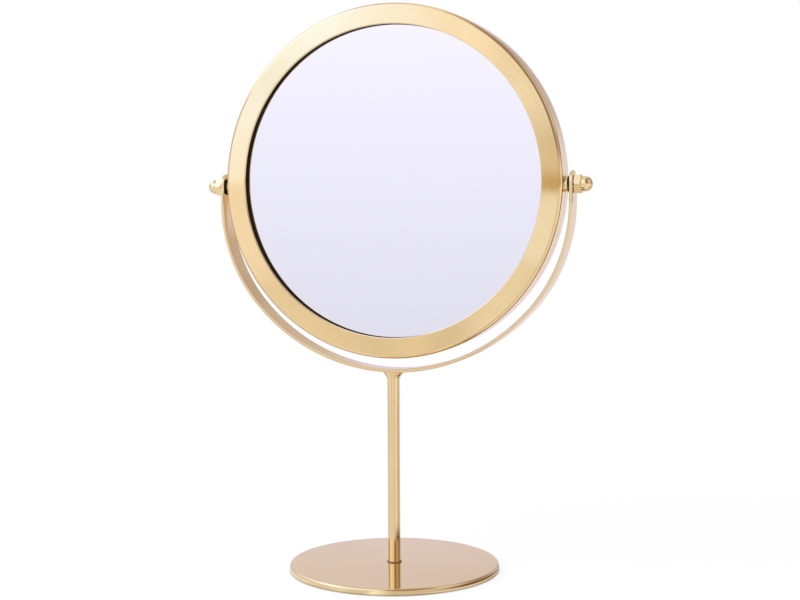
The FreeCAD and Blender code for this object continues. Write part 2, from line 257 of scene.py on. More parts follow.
def cut_with(piece, cutter, operation):
    """Applies one exact Boolean to a piece and takes the cutter away."""
    cut = piece.modifiers.new("cut", "BOOLEAN")
    cut.operation = operation
    cut.solver = "EXACT"
    cut.object = cutter
    graph = bpy.context.evaluated_depsgraph_get()
    mesh = bpy.data.meshes.new_from_object(piece.evaluated_get(graph))
    piece.modifiers.clear()
    piece.data = mesh
    mesh.name = piece.name
    bpy.data.objects.remove(cutter)
    mesh.set_sharp_from_angle(angle=SHARP_AFTER_CUT)


# ---------------------------------------------------------------- base and stem


def make_base_plate():
    recess = PAD_RADIUS + PAD_POCKET
    return turned_about_stem("base_disc", [
        (BASE_HOLE, BASE_TOP, 0),
        (BASE_RADIUS, BASE_TOP, PLATE_TOP_ROUND),
        (BASE_RADIUS, PLATE_BOTTOM, PLATE_BOTTOM_ROUND),
        (recess, PLATE_BOTTOM, 0),
        (recess, PAD_TOP, 0),
        (SCREW_SINK, PAD_TOP, 0),
        (BASE_HOLE, PAD_TOP + SCREW_SINK - BASE_HOLE, 0),
    ], steps=256, segments=6)


def make_base_pad():
    return turned_about_stem("foam_pad", [
        (0, 0, 0), (PAD_RADIUS, 0, PAD_ROUND), (PAD_RADIUS, PAD_TOP, 0), (0, PAD_TOP, 0),
    ], steps=192, segments=3)


def make_foot_washer():
    return turned_about_stem("foot_ring", [
        (BASE_HOLE, BASE_TOP, 0), (FOOT_WASHER_RADIUS, BASE_TOP, 0),
        (FOOT_WASHER_RADIUS, stem_foot, WASHER_ROUND), (BASE_HOLE, stem_foot, 0),
    ], steps=72, segments=3)


def meet_yoke(bm, top):
    """Moves the points of the top ring onto the underside of the yoke's bottom arc."""
    for vert in bm.verts:
        if vert.co.z > top - DOUBLES:
            vert.co.z = bottom_centre - math.sqrt(bottom_radius ** 2 - vert.co.x ** 2)


def make_stem_tube():
    top = yoke_bottom + MEETING_RISE
    bm = turned_mesh([
        (STEM_BORE, stem_foot, 0), (STEM_RADIUS, stem_foot, WASHER_ROUND),
        (STEM_RADIUS, top, 0), (STEM_BORE, top, 0),
    ], "Z", steps=96, segments=2)
    meet_yoke(bm, top)
    return piece_from(bm, "stem")


def make_stem_flare():
    """Weld collar that spreads the stem along the yoke and stays slim from front to back."""
    inner = STEM_RADIUS + SEAT
    foot_z = yoke_bottom - FLARE_HEIGHT
    rim_z = yoke_bottom - FLARE_EDGE
    top = yoke_bottom + MEETING_RISE
    bm = turned_mesh([
        (inner, foot_z, 0), (FLARE_FOOT, foot_z, 0),
        (FLARE_FOOT, rim_z - FLARE_SLOPE, FLARE_BEND),
        (FLARE_RADIUS, rim_z, 0), (FLARE_RADIUS, top, 0), (inner, top, 0),
    ], "Z", steps=96, segments=8)
    for vert in bm.verts:
        radius = math.hypot(vert.co.x, vert.co.y)
        if radius > FLARE_FOOT:
            vert.co.y *= (FLARE_FOOT + FLARE_FLATNESS * (radius - FLARE_FOOT)) / radius
    meet_yoke(bm, top)
    return piece_from(bm, "weld_flare")


# ---------------------------------------------------------------- yoke


def make_bends():
    """Open strip carried round the left shoulder, the bottom arc and the right shoulder."""
    bm = bmesh.new()
    outer = -YOKE_HALF
    inner = STRIP_THICKNESS - YOKE_HALF
    add_outline(bm, [
        ((outer, -STRIP_HALF_WIDTH, ARC_START), STRIP_ROUND),
        ((inner, -STRIP_HALF_WIDTH, ARC_START), STRIP_ROUND),
        ((inner, STRIP_HALF_WIDTH, ARC_START), STRIP_ROUND),
        ((outer, STRIP_HALF_WIDTH, ARC_START), STRIP_ROUND),
    ], segments=3)
    bmesh.ops.delete(bm, geom=bm.faces[:], context="FACES_ONLY")
    end = bm.verts[:] + bm.edges[:]
    bends = (
        (-shoulder_centre, ARC_START, math.pi / 2 - TANGENT, SHOULDER_STEPS),
        (0, bottom_centre, 2 * TANGENT, BOTTOM_STEPS),
        (shoulder_centre, ARC_START, math.pi / 2 - TANGENT, SHOULDER_STEPS),
    )
    for centre_x, centre_z, angle, steps in bends:
        turned = bmesh.ops.spin(
            bm, geom=end, cent=(centre_x, 0, centre_z), axis=(0, -1, 0),
            angle=angle, steps=steps)
        end = turned["geom_last"]
    return bm


def make_arm_end(side):
    """Straight arm with a round tab, standing on the shoulder."""
    bm = bmesh.new()
    inner = side * (YOKE_HALF - STRIP_THICKNESS)
    rounding = STRIP_HALF_WIDTH - TINY
    add_outline(bm, [
        ((inner, -STRIP_HALF_WIDTH, ARC_START), 0),
        ((inner, STRIP_HALF_WIDTH, ARC_START), 0),
        ((inner, STRIP_HALF_WIDTH, TAB_TOP), rounding),
        ((inner, -STRIP_HALF_WIDTH, TAB_TOP), rounding),
    ], segments=16)
    raised = bmesh.ops.extrude_face_region(bm, geom=bm.faces[:])
    moved = [item for item in raised["geom"] if isinstance(item, bmesh.types.BMVert)]
    bmesh.ops.translate(bm, vec=(side * STRIP_THICKNESS, 0, 0), verts=moved)
    bmesh.ops.recalc_face_normals(bm, faces=bm.faces)
    rim = []
    for edge in bm.edges:
        level = abs(edge.verts[0].co.x - edge.verts[1].co.x) < DOUBLES
        foot = all(vert.co.z < ARC_START + DOUBLES for vert in edge.verts)
        if level and not foot and edge.calc_face_angle(0) > RIM_ANGLE:
            rim.append(edge)
    bmesh.ops.bevel(
        bm, geom=rim, offset=STRIP_ROUND, offset_type="OFFSET", segments=3,
        profile=0.5, affect="EDGES", material=-1)
    return bm


def make_yoke_hoop():
    """Bends and both arms joined into one strip, with the pivot holes drilled."""
    bm = make_bends()
    for side in (-1, 1):
        arm = make_arm_end(side)
        mesh = bpy.data.meshes.new("arm")
        arm.to_mesh(mesh)
        arm.free()
        bm.from_mesh(mesh)
        bpy.data.meshes.remove(mesh)
    bmesh.ops.remove_doubles(bm, verts=bm.verts, dist=ARM_JOIN)
    hoop = piece_from(bm, "hoop")
    for side in (-1, 1):
        start = side * (YOKE_HALF - 2 * STRIP_THICKNESS)
        end = side * (YOKE_HALF + STRIP_THICKNESS)
        drill = turned_about_pivot("drill", [
            (start, 0, 0), (start, PIVOT_HOLE, 0), (end, PIVOT_HOLE, 0), (end, 0, 0),
        ], steps=48)
        cut_with(hoop, drill, "DIFFERENCE")
    return hoop


# ---------------------------------------------------------------- mirror head


def make_bezel(name, side):
    """Pressed ring: skirt, flat face and a lip turned back into the opening."""
    return turned_about_head(name, [
        (HEAD_RADIUS, side * HALF_SEAM, SHEET_ROUND),
        (HEAD_RADIUS, side * head_half, BEZEL_OUTER_ROUND),
        (OPENING_RADIUS, side * head_half, BEZEL_LIP_ROUND),
        (OPENING_RADIUS, side * lip_end, LIP_END_ROUND),
        (OPENING_RADIUS + BEZEL_SHEET, side * lip_end, LIP_END_ROUND),
        (OPENING_RADIUS + BEZEL_SHEET, side * face_inside, 0),
        (skirt_inside, side * face_inside, BEZEL_OUTER_ROUND - BEZEL_SHEET),
        (skirt_inside, side * HALF_SEAM, SHEET_ROUND),
    ])


def make_gasket(name, side):
    """Lining of the opening, stepped behind the lip down to the glass."""
    inner = OPENING_RADIUS + SEAT
    step = OPENING_RADIUS + BEZEL_SHEET + SEAT
    return turned_about_head(name, [
        (inner, side * (glass_front + SEAT), SHEET_ROUND),
        (inner, side * (lip_end - SEAT), SHEET_ROUND),
        (step, side * (lip_end - SEAT), 0),
        (step, side * (face_inside - SEAT), 0),
        (GLASS_RADIUS, side * (face_inside - SEAT), 0),
        (GLASS_RADIUS, side * (glass_front + SEAT), 0),
    ], segments=3)


def make_flat_glass():
    rear = glass_front - GLASS_THICKNESS
    return turned_about_head("plain_mirror", [
        (0, -rear, 0),
        (GLASS_RADIUS - GLASS_BEVEL, -rear, 0),
        (GLASS_RADIUS, -rear - GLASS_BEVEL, 0),
        (GLASS_RADIUS, -glass_front + GLASS_BEVEL, 0),
        (GLASS_RADIUS - GLASS_BEVEL, -glass_front, 0),
        (0, -glass_front, 0),
    ])


def make_dished_glass():
    """Magnifying mirror: rings of a flat disc set back onto a sphere."""
    rear = glass_front - GLASS_THICKNESS
    bm = turned_mesh([
        (0, rear, 0), (GLASS_RADIUS, rear, 0), (GLASS_RADIUS, glass_front, 0), (0, glass_front, 0),
    ], "Y", steps=HEAD_STEPS)
    spokes = []
    for edge in bm.edges:
        start, end = (vert.co for vert in edge.verts)
        run = abs(math.hypot(start.x, start.z) - math.hypot(end.x, end.z))
        if abs(start.y - end.y) < DOUBLES and run > GLASS_RADIUS / 2:
            spokes.append(edge)
    bmesh.ops.subdivide_edges(bm, edges=spokes, cuts=DISH_RINGS)
    bmesh.ops.remove_doubles(bm, verts=bm.verts, dist=DOUBLES)
    for vert in bm.verts:
        radius = math.hypot(vert.co.x, vert.co.z)
        sag = MAGNIFYING_RADIUS - math.sqrt(MAGNIFYING_RADIUS ** 2 - radius ** 2)
        vert.co.y += sag - dish_depth
    bmesh.ops.translate(bm, vec=(0, 0, HEAD_Z), verts=bm.verts)
    return piece_from(bm, "magnifying_mirror")


# ---------------------------------------------------------------- pivots


def make_collar(name, side):
    """Rounded spacer whose inner end follows the curve of the skirts."""
    bm = turned_mesh([
        (skirt_inside, STUD_HOLE, 0), (skirt_inside, COLLAR_RADIUS, 0),
        (COLLAR_FACE, COLLAR_RADIUS, COLLAR_ROUND), (COLLAR_FACE, STUD_HOLE, 0),
    ], "X", steps=72)
    bmesh.ops.translate(bm, vec=(0, 0, PIVOT_Z), verts=bm.verts)
    for vert in bm.verts:
        if vert.co.x < skirt_inside + DOUBLES:
            vert.co.x = math.sqrt((HEAD_RADIUS + SEAT) ** 2 - (vert.co.z - HEAD_Z) ** 2)
    bmesh.ops.scale(bm, vec=(side, 1, 1), verts=bm.verts)
    return piece_from(bm, name)


def make_friction_washer(name, side):
    inner = side * COLLAR_FACE
    outer = side * WASHER_FACE
    return turned_about_pivot(name, [
        (inner, STUD_HOLE, 0), (inner, WASHER_RADIUS, WASHER_ROUND),
        (outer, WASHER_RADIUS, WASHER_ROUND), (outer, STUD_HOLE, 0),
    ], segments=2)


def make_acorn_nut(name, side):
    """Hexagon with chamfered corners under a round dome, over a blind bore."""
    flat = NUT_FLATS / 2
    corner = NUT_FLATS / math.sqrt(3)
    dome_x = NUT_FACE + NUT_HEX_HEIGHT
    tip_x = NUT_FACE + NUT_HEIGHT
    chamfer = (corner - flat) * math.tan(NUT_CHAMFER)
    bm = bmesh.new()
    bmesh.ops.create_circle(bm, cap_ends=True, segments=6, radius=corner)
    bmesh.ops.rotate(
        bm, cent=(0, 0, 0), matrix=Matrix.Rotation(math.pi / 2, 3, "Y"), verts=bm.verts)
    raised = bmesh.ops.extrude_face_region(bm, geom=bm.faces[:])
    moved = [item for item in raised["geom"] if isinstance(item, bmesh.types.BMVert)]
    bmesh.ops.translate(bm, vec=(side * NUT_HEX_HEIGHT, 0, 0), verts=moved)
    bmesh.ops.translate(bm, vec=(side * NUT_FACE, 0, PIVOT_Z), verts=bm.verts)
    nut = piece_from(bm, name)
    blank = (
        (NUT_FACE, 0, 0), (NUT_FACE, flat, 0), (NUT_FACE + chamfer, corner + TINY, 0),
        (dome_x - chamfer, corner + TINY, 0), (dome_x, flat, 0), (dome_x, 0, 0),
    )
    dome = (
        (dome_x - NUT_OVERRUN, 0, 0), (dome_x - NUT_OVERRUN, NUT_DOME_RADIUS, 0),
        (tip_x, NUT_DOME_RADIUS, NUT_DOME_RADIUS - TINY), (tip_x, 0, 0),
    )
    bore = (
        (NUT_FACE - NUT_OVERRUN, 0, 0), (NUT_FACE - NUT_OVERRUN, STUD_HOLE, 0),
        (NUT_BORE_END, STUD_HOLE, 0), (NUT_BORE_END, 0, 0),
    )
    cuts = (("INTERSECT", blank, 96, 5), ("UNION", dome, 72, 14), ("DIFFERENCE", bore, 48, 5))
    for operation, section, steps, segments in cuts:
        corners = [(side * along_axis, radius, rounding) for along_axis, radius, rounding in section]
        cut_with(nut, turned_about_pivot("tool", corners, steps, segments), operation)
    return nut


# ---------------------------------------------------------------- node helpers


def fill_inputs(tree, node, values):
    """Sets a node's inputs from numbers, colours or sockets to link from."""
    for key, value in values.items():
        if isinstance(value, bpy.types.NodeSocket):
            tree.links.new(value, node.inputs[key])
        else:
            node.inputs[key].default_value = value


def add_node(tree, kind, settings=None, values=None):
    """New node with its settings, and its inputs as fill_inputs sets them."""
    made = tree.nodes.new(kind)
    for key, value in (settings or {}).items():
        setattr(made, key, value)
    fill_inputs(tree, made, values or {})
    return made


def math_node(tree, operation, first, second=0.0, clamp=False):
    settings = {"operation": operation, "use_clamp": clamp}
    return add_node(tree, "ShaderNodeMath", settings, {0: first, 1: second}).outputs[0]


def vector_node(tree, operation, first, second=None):
    values = {0: first} if second is None else {0: first, 1: second}
    made = add_node(tree, "ShaderNodeVectorMath", {"operation": operation}, values)
    return made.outputs["Value" if operation in ("DOT_PRODUCT", "LENGTH") else "Vector"]


def scaled(tree, vector, amount):
    made = add_node(tree, "ShaderNodeVectorMath", {"operation": "SCALE"}, {0: vector, "Scale": amount})
    return made.outputs["Vector"]


def ranged(tree, value, low, high, to_low, to_high, smooth=False):
    """Map Range from one span to another, clamped."""
    kind = "SMOOTHSTEP" if smooth else "LINEAR"
    made = add_node(tree, "ShaderNodeMapRange", {"interpolation_type": kind, "clamp": True}, {
        "Value": value, "From Min": low, "From Max": high, "To Min": to_low, "To Max": to_high})
    return made.outputs["Result"]


def span_mask(tree, value, span):
    """1 between the second and third numbers of the span, fading to 0 at the first and last."""
    rise = ranged(tree, value, span[0], span[1], 0.0, 1.0, True)
    fall = ranged(tree, value, span[2], span[3], 1.0, 0.0, True)
    return math_node(tree, "MULTIPLY", rise, fall)


def mixed(tree, share, first, second):
    """One colour shading into another as the share goes from 0 to 1."""
    made = add_node(tree, "ShaderNodeMix", {"data_type": "RGBA"}, {0: share, 6: first, 7: second})
    return made.outputs[2]


# ---------------------------------------------------------------- shared effects

NOISE_LOW = 0.3
NOISE_HIGH = 0.7
# Painted highlight along rounded edges: its share of pale gold, and its widths in metres.
EDGE_HIGHLIGHT_SHARE = 0.5
EDGE_HIGHLIGHT_WIDTH = 0.0006
RIM_HIGHLIGHT_WIDTH = 0.0008
# How squarely a surface faces the turning axis for its marks to be those of a face or a side.
FACE_MARKS = (0.9, 0.995)
SIDE_MARKS = (0.005, 0.1)


def new_group(name, inputs, outputs):
    group = bpy.data.node_groups.new(name, "ShaderNodeTree")
    for label, kind, value in inputs:
        socket = group.interface.new_socket(name=label, in_out="INPUT", socket_type=kind)
        if value is not None:
            socket.default_value = value
    for label, kind in outputs:
        group.interface.new_socket(name=label, in_out="OUTPUT", socket_type=kind)
    return group, group.nodes.new("NodeGroupInput").outputs, group.nodes.new("NodeGroupOutput")


def make_grain_group():
    """Fine grain and slow clouding of a satin or moulded surface, both from 0 to 1."""
    group, source, result = new_group("surface_grain", [
        ("Vector", "NodeSocketVector", None),
        ("Grain Scale", "NodeSocketFloat", 1400.0),
        ("Cloud Scale", "NodeSocketFloat", 22.0),
    ], [("Grain", "NodeSocketFloat"), ("Cloud", "NodeSocketFloat")])
    for label, detail, roughness in (("Grain", 2.0, 0.6), ("Cloud", 3.0, 0.5)):
        noise = add_node(group, "ShaderNodeTexNoise", None, {
            "Vector": source["Vector"], "Scale": source[label + " Scale"],
            "Detail": detail, "Roughness": roughness})
        group.links.new(noise.outputs["Fac"], result.inputs[label])
    return group


def make_edge_highlight_group():
    """Mask of a painted highlight that rises towards an edge at a given distance, broken up by noise.
    """
    group, source, result = new_group("painted_edge_highlight", [
        ("Vector", "NodeSocketVector", None),
        ("Distance", "NodeSocketFloat", 0.0),
        ("Edge", "NodeSocketFloat", 0.1),
        ("Width", "NodeSocketFloat", EDGE_HIGHLIGHT_WIDTH),
    ], [("Mask", "NodeSocketFloat")])
    start = math_node(group, "SUBTRACT", source["Edge"], source["Width"])
    rise = ranged(group, source["Distance"], start, source["Edge"], 0.0, 1.0, True)
    patches = add_node(group, "ShaderNodeTexNoise", None, {
        "Vector": source["Vector"], "Scale": 180.0, "Detail": 4.0, "Roughness": 0.65})
    broken = ranged(group, patches.outputs["Fac"], 0.35, 0.65, 0.35, 1.0, True)
    mask = math_node(group, "MULTIPLY", rise, broken, clamp=True)
    group.links.new(mask, result.inputs["Mask"])
    return group


def make_turning_group():
    """Normal with fine turning marks round an axis, and the distance from that axis."""
    group, source, result = new_group("turning_marks", [
        ("Vector", "NodeSocketVector", None),
        ("Centre", "NodeSocketVector", (0.0, 0.0, 0.0)),
        ("Axis", "NodeSocketVector", (0.0, 1.0, 0.0)),
        ("Pitch", "NodeSocketFloat", 40000.0),
        ("Face Depth", "NodeSocketFloat", 1.0),
        ("Face Lean", "NodeSocketFloat", 0.0),
        ("Side Depth", "NodeSocketFloat", 0.2),
    ], [("Normal", "NodeSocketVector"), ("Radius", "NodeSocketFloat")])
    axis = source["Axis"]
    arm = vector_node(group, "SUBTRACT", source["Vector"], source["Centre"])
    height = vector_node(group, "DOT_PRODUCT", arm, axis)
    spoke = vector_node(group, "SUBTRACT", arm, scaled(group, axis, height))
    radius = vector_node(group, "LENGTH", spoke)
    outward = vector_node(group, "NORMALIZE", spoke)
    flat = group.nodes.new("ShaderNodeTexCoord").outputs["Normal"]
    facing = math_node(group, "ABSOLUTE", vector_node(group, "DOT_PRODUCT", flat, axis))
    on_face = ranged(group, facing, *FACE_MARKS, 0.0, 1.0, True)
    on_side = ranged(group, facing, *SIDE_MARKS, 1.0, 0.0, True)
    tilts = []
    for distance, label, share in ((radius, "Face Depth", on_face), (height, "Side Depth", on_side)):
        count = math_node(group, "MULTIPLY", distance, source["Pitch"])
        noise = add_node(group, "ShaderNodeTexNoise", {"noise_dimensions": "1D"}, {
            "W": count, "Scale": 1.0, "Detail": 2.0, "Roughness": 0.6})
        slope = math_node(group, "SUBTRACT", noise.outputs["Fac"], 0.5)
        depth = math_node(group, "MULTIPLY", source[label], share)
        tilts.append(math_node(group, "MULTIPLY", slope, depth))
    lean = math_node(group, "MULTIPLY", source["Face Lean"], on_face)
    outwards = math_node(group, "ADD", tilts[0], lean)
    tilt = vector_node(
        group, "ADD", scaled(group, outward, outwards), scaled(group, axis, tilts[1]))
    turned = add_node(group, "ShaderNodeVectorTransform", {
        "vector_type": "NORMAL", "convert_from": "OBJECT", "convert_to": "WORLD"}, {
        "Vector": vector_node(group, "ADD", flat, tilt)})
    normal = vector_node(group, "NORMALIZE", turned.outputs[0])
    group.links.new(normal, result.inputs["Normal"])
    group.links.new(radius, result.inputs["Radius"])
    return group


surface_grain = make_grain_group()
painted_edge_highlight = make_edge_highlight_group()
turning_marks = make_turning_group()


def use_group(tree, group, values):
    return add_node(tree, "ShaderNodeGroup", {"node_tree": group}, values).outputs


def noise_share(tree, noise, top=1.0):
    """A noise's middle range as a share from 0 to the top."""
    return ranged(tree, noise, NOISE_LOW, NOISE_HIGH, 0.0, top)


def add_painted_highlight(tree, tone, place, distance, edge, width):
    """The tone with a painted highlight, paler towards an edge at a given distance."""
    highlight_mask = use_group(tree, painted_edge_highlight, {
        "Vector": place, "Distance": distance, "Edge": edge, "Width": width})
    return mixed(tree, math_node(tree, "MULTIPLY", highlight_mask["Mask"], EDGE_HIGHLIGHT_SHARE), tone, GOLD_PALE)


def grain_bump(tree, grain, strength, distance=0.0002):
    return add_node(tree, "ShaderNodeBump", None, {
        "Strength": strength, "Distance": distance, "Height": grain["Grain"]})


# ---------------------------------------------------------------- materials

HEAD_CENTRE = (0.0, 0.0, HEAD_Z * METRE)
ORIGIN = (0.0, 0.0, 0.0)
HEAD_AXIS = (0.0, 1.0, 0.0)
STEM_AXIS = (0.0, 0.0, 1.0)
GOLD = (0.87, 0.665, 0.37, 1.0)
GOLD_DEEP = (0.83, 0.61, 0.31, 1.0)
GOLD_PALE = (0.90, 0.73, 0.46, 1.0)
GLASS_TINT = (0.955, 0.952, 0.972, 1.0)
GLASS_SMEAR = (0.945, 0.944, 0.966, 1.0)


def start_material(name):
    material = bpy.data.materials.new(name)
    material.use_nodes = True
    tree = material.node_tree
    tree.nodes.clear()
    output = tree.nodes.new("ShaderNodeOutputMaterial")
    shader = tree.nodes.new("ShaderNodeBsdfPrincipled")
    tree.links.new(shader.outputs[0], output.inputs["Surface"])
    place = tree.nodes.new("ShaderNodeTexCoord").outputs["Object"]
    return material, tree, shader, place


def turned_gold(name, centre, axis, rough, face_depth, face_lean, side_depth, edges):
    """Satin gold with turning marks round an axis and a painted highlight along its edges.

    An edge is (radius, side), where the side is 1 for an outer edge and -1 for an opening.
    """
    material, tree, shader, place = start_material(name)
    marks = use_group(tree, turning_marks, {
        "Vector": place, "Centre": centre, "Axis": axis,
        "Face Depth": face_depth, "Face Lean": face_lean, "Side Depth": side_depth})
    grain = use_group(tree, surface_grain, {"Vector": place})
    tone = mixed(tree, noise_share(tree, grain["Cloud"]), GOLD, GOLD_DEEP)
    tone = mixed(tree, noise_share(tree, grain["Grain"], 0.2), tone, GOLD_PALE)
    # Painted highlight along each edge.
    for edge, side in edges:
        distance = math_node(tree, "MULTIPLY", marks["Radius"], side)
        tone = add_painted_highlight(tree, tone, place, distance, edge * METRE * side, RIM_HIGHLIGHT_WIDTH)
    bump = grain_bump(tree, grain, 0.01)
    tree.links.new(marks["Normal"], bump.inputs["Normal"])
    fill_inputs(tree, shader, {
        "Base Color": tone, "Metallic": 1.0, "Normal": bump.outputs[0],
        "Roughness": ranged(tree, grain["Grain"], 0.25, 0.75, rough - 0.02, rough + 0.02)})
    return material


def strip_gold(name):
    """Satin gold of the bent strip, with a painted highlight along its long edges."""
    material, tree, shader, place = start_material(name)
    grain = use_group(tree, surface_grain, {"Vector": place})
    tone = mixed(tree, noise_share(tree, grain["Cloud"]), GOLD, GOLD_DEEP)
    tone = mixed(tree, noise_share(tree, grain["Grain"], 0.3), tone, GOLD_PALE)
    parts = add_node(tree, "ShaderNodeSeparateXYZ", None, {"Vector": place})
    across = math_node(tree, "ABSOLUTE", parts.outputs["Y"])
    # Painted highlight along the strip's long edges.
    tone = add_painted_highlight(tree, tone, place, across, STRIP_HALF_WIDTH * METRE, EDGE_HIGHLIGHT_WIDTH)
    fill_inputs(tree, shader, {
        "Base Color": tone, "Metallic": 1.0, "Normal": grain_bump(tree, grain, 0.05).outputs[0],
        "Roughness": ranged(tree, grain["Grain"], 0.25, 0.75, 0.12, 0.17)})
    return material


def plain_metal(name, tone_low, tone_high, rough_low, rough_high):
    """Metal whose tone and gloss vary with grain and clouding."""
    material, tree, shader, place = start_material(name)
    grain = use_group(tree, surface_grain, {"Vector": place})
    share = math_node(tree, "MULTIPLY", grain["Cloud"], grain["Grain"])
    fill_inputs(tree, shader, {
        "Base Color": mixed(tree, ranged(tree, share, 0.1, 0.4, 0.0, 1.0), tone_low, tone_high),
        "Metallic": 1.0, "Normal": grain_bump(tree, grain, 0.02, 0.0001).outputs[0],
        "Roughness": ranged(tree, grain["Cloud"], NOISE_LOW, NOISE_HIGH, rough_low, rough_high)})
    return material


def mirror_glass(name):
    """Silvered glass with a faint smear of handling."""
    material, tree, shader, place = start_material(name)
    smear = use_group(tree, surface_grain, {
        "Vector": place, "Grain Scale": 160.0, "Cloud Scale": 9.0})
    fill_inputs(tree, shader, {
        "Base Color": mixed(tree, noise_share(tree, smear["Cloud"]), GLASS_TINT, GLASS_SMEAR),
        "Metallic": 1.0, "Roughness": ranged(tree, smear["Grain"], 0.35, 0.75, 0.004, 0.03)})
    return material


def soft_dark(name, low, high, rough, grain_scale, bump_strength, gloss=0.5):
    """Rubber, nylon, board or plastic: a matt surface with fine grain."""
    material, tree, shader, place = start_material(name)
    grain = use_group(tree, surface_grain, {"Vector": place, "Grain Scale": grain_scale})
    fill_inputs(tree, shader, {
        "Base Color": mixed(tree, noise_share(tree, grain["Grain"]), low, high),
        "Normal": grain_bump(tree, grain, bump_strength).outputs[0], "Specular IOR Level": gloss,
        "Roughness": ranged(
            tree, grain["Cloud"], NOISE_LOW, NOISE_HIGH, rough - 0.08, rough + 0.08)})
    return material


bezel_gold = turned_gold(
    "bezel_gold", HEAD_CENTRE, HEAD_AXIS, 0.08, 0.5, 0.2, 0.3,
    [(HEAD_RADIUS, 1.0), (OPENING_RADIUS, -1.0)])
base_gold = turned_gold(
    "base_gold", ORIGIN, STEM_AXIS, 0.08, 0.1, 0.0, 0.15, [(BASE_RADIUS, 1.0)])
stem_gold = turned_gold("stem_gold", ORIGIN, STEM_AXIS, 0.07, 0.3, 0.0, 0.12, [])
hoop_gold = strip_gold("hoop_gold")
nut_gold = plain_metal(
    "polished_brass", (0.90, 0.72, 0.40, 1.0), (0.87, 0.66, 0.34, 1.0), 0.06, 0.12)
zinc = plain_metal("zinc_steel", (0.62, 0.62, 0.60, 1.0), (0.74, 0.74, 0.72, 1.0), 0.25, 0.4)
band_steel = plain_metal(
    "band_steel", (0.10, 0.08, 0.05, 1.0), (0.16, 0.12, 0.08, 1.0), 0.3, 0.45)
silver = mirror_glass("silvered_glass")
rubber = soft_dark(
    "black_rubber", (0.010, 0.006, 0.003, 1.0), (0.018, 0.011, 0.005, 1.0), 0.7, 1600.0, 0.1, 0.1)
nylon = soft_dark(
    "black_nylon", (0.012, 0.010, 0.008, 1.0), (0.03, 0.025, 0.02, 1.0), 0.5, 1200.0, 0.15, 0.3)
brown_nylon = soft_dark(
    "brown_nylon", (0.26, 0.16, 0.07, 1.0), (0.34, 0.22, 0.11, 1.0), 0.5, 1200.0, 0.15, 0.3)
grey_plastic = soft_dark(
    "grey_plastic", (0.22, 0.22, 0.23, 1.0), (0.28, 0.28, 0.29, 1.0), 0.55, 900.0, 0.1)
board = soft_dark(
    "backing_board", (0.38, 0.30, 0.21, 1.0), (0.48, 0.39, 0.28, 1.0), 0.85, 700.0, 0.4)

# ---------------------------------------------------------------- pieces


def paint(piece, material):
    piece.data.materials.clear()
    piece.data.materials.append(material)


def dress_piece(piece, body, node, material):
    """Gives a piece its finish and its body, and hides the CAD node that it stands for."""
    # Flat faces keep their own normals next to rounded edges.
    weigh = piece.modifiers.new("even_normals", "WEIGHTED_NORMAL")
    weigh.keep_sharp = True
    paint(piece, material)
    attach(piece, body)
    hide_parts(node)


dress_piece(make_base_plate(), "stand", "base_plate", base_gold)
dress_piece(make_base_pad(), "stand", "base_pad", rubber)
dress_piece(make_foot_washer(), "stand", "foot_washer", brown_nylon)
dress_piece(make_stem_tube(), "stand", "stem_tube", stem_gold)
dress_piece(make_stem_flare(), "stand", "stem_flare", stem_gold)
dress_piece(make_yoke_hoop(), "stand", "yoke_hoop", hoop_gold)
for label, side in (("front", -1), ("back", 1)):
    dress_piece(
        make_bezel(label + "_face", side), "mirror_head", label + "_bezel",
        bezel_gold)
    dress_piece(
        make_gasket(label + "_lining", side), "mirror_head", label + "_gasket",
        rubber)
dress_piece(make_flat_glass(), "mirror_head", "front_glass", silver)
dress_piece(make_dished_glass(), "mirror_head", "back_glass", silver)
for label, side in (("left", -1), ("right", 1)):
    dress_piece(
        make_collar("collar_" + label, side), "mirror_head", "pivot_collar_" + label,
        nut_gold)
    dress_piece(
        make_friction_washer("washer_" + label, side), "mirror_head", "friction_washer_" + label,
        nylon)
    dress_piece(
        make_acorn_nut("cap_" + label, side), "mirror_head", "acorn_nut_" + label,
        nut_gold)

for node in ("pivot_stud_left", "pivot_stud_right", "lock_nut_left", "lock_nut_right",
             "base_screw", "stem_insert"):
    paint(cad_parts[node], zinc)
paint(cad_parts["rim_band"], band_steel)
paint(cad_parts["carrier_ring"], grey_plastic)
paint(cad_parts["backing_disc"], board)

# ---------------------------------------------------------------- studio

# Bearings are in degrees to the right of the camera's stand, which is this far round itself.
STAND_BEARING = math.radians(19.6)
# The floor, and the shade that the base throws on it beside its right edge, in metres.
FLOOR_RADIUS = 0.7
FLOOR_DROP = 0.0002
FLOOR_MATT = (0.8, 0.79, 0.78, 1.0)
FLOOR_WHITE = (1.0, 1.0, 0.985, 1.0)
FLOOR_WHITE_STRENGTH = 1.16
# Share of that white in the floor, and the dark gap round the base's foot where it starts.
FLOOR_LIFT = 0.7
FOOT_GAP_RADII = (0.0590, 0.0604)
BASE_SHADE_TONE = (0.18, 0.11, 0.04, 1.0)
BASE_SHADE_RADII = (0.0608, 0.0645, 0.076, 0.120)
BASE_SHADE_SIDES = (5, 52, 105, 140)
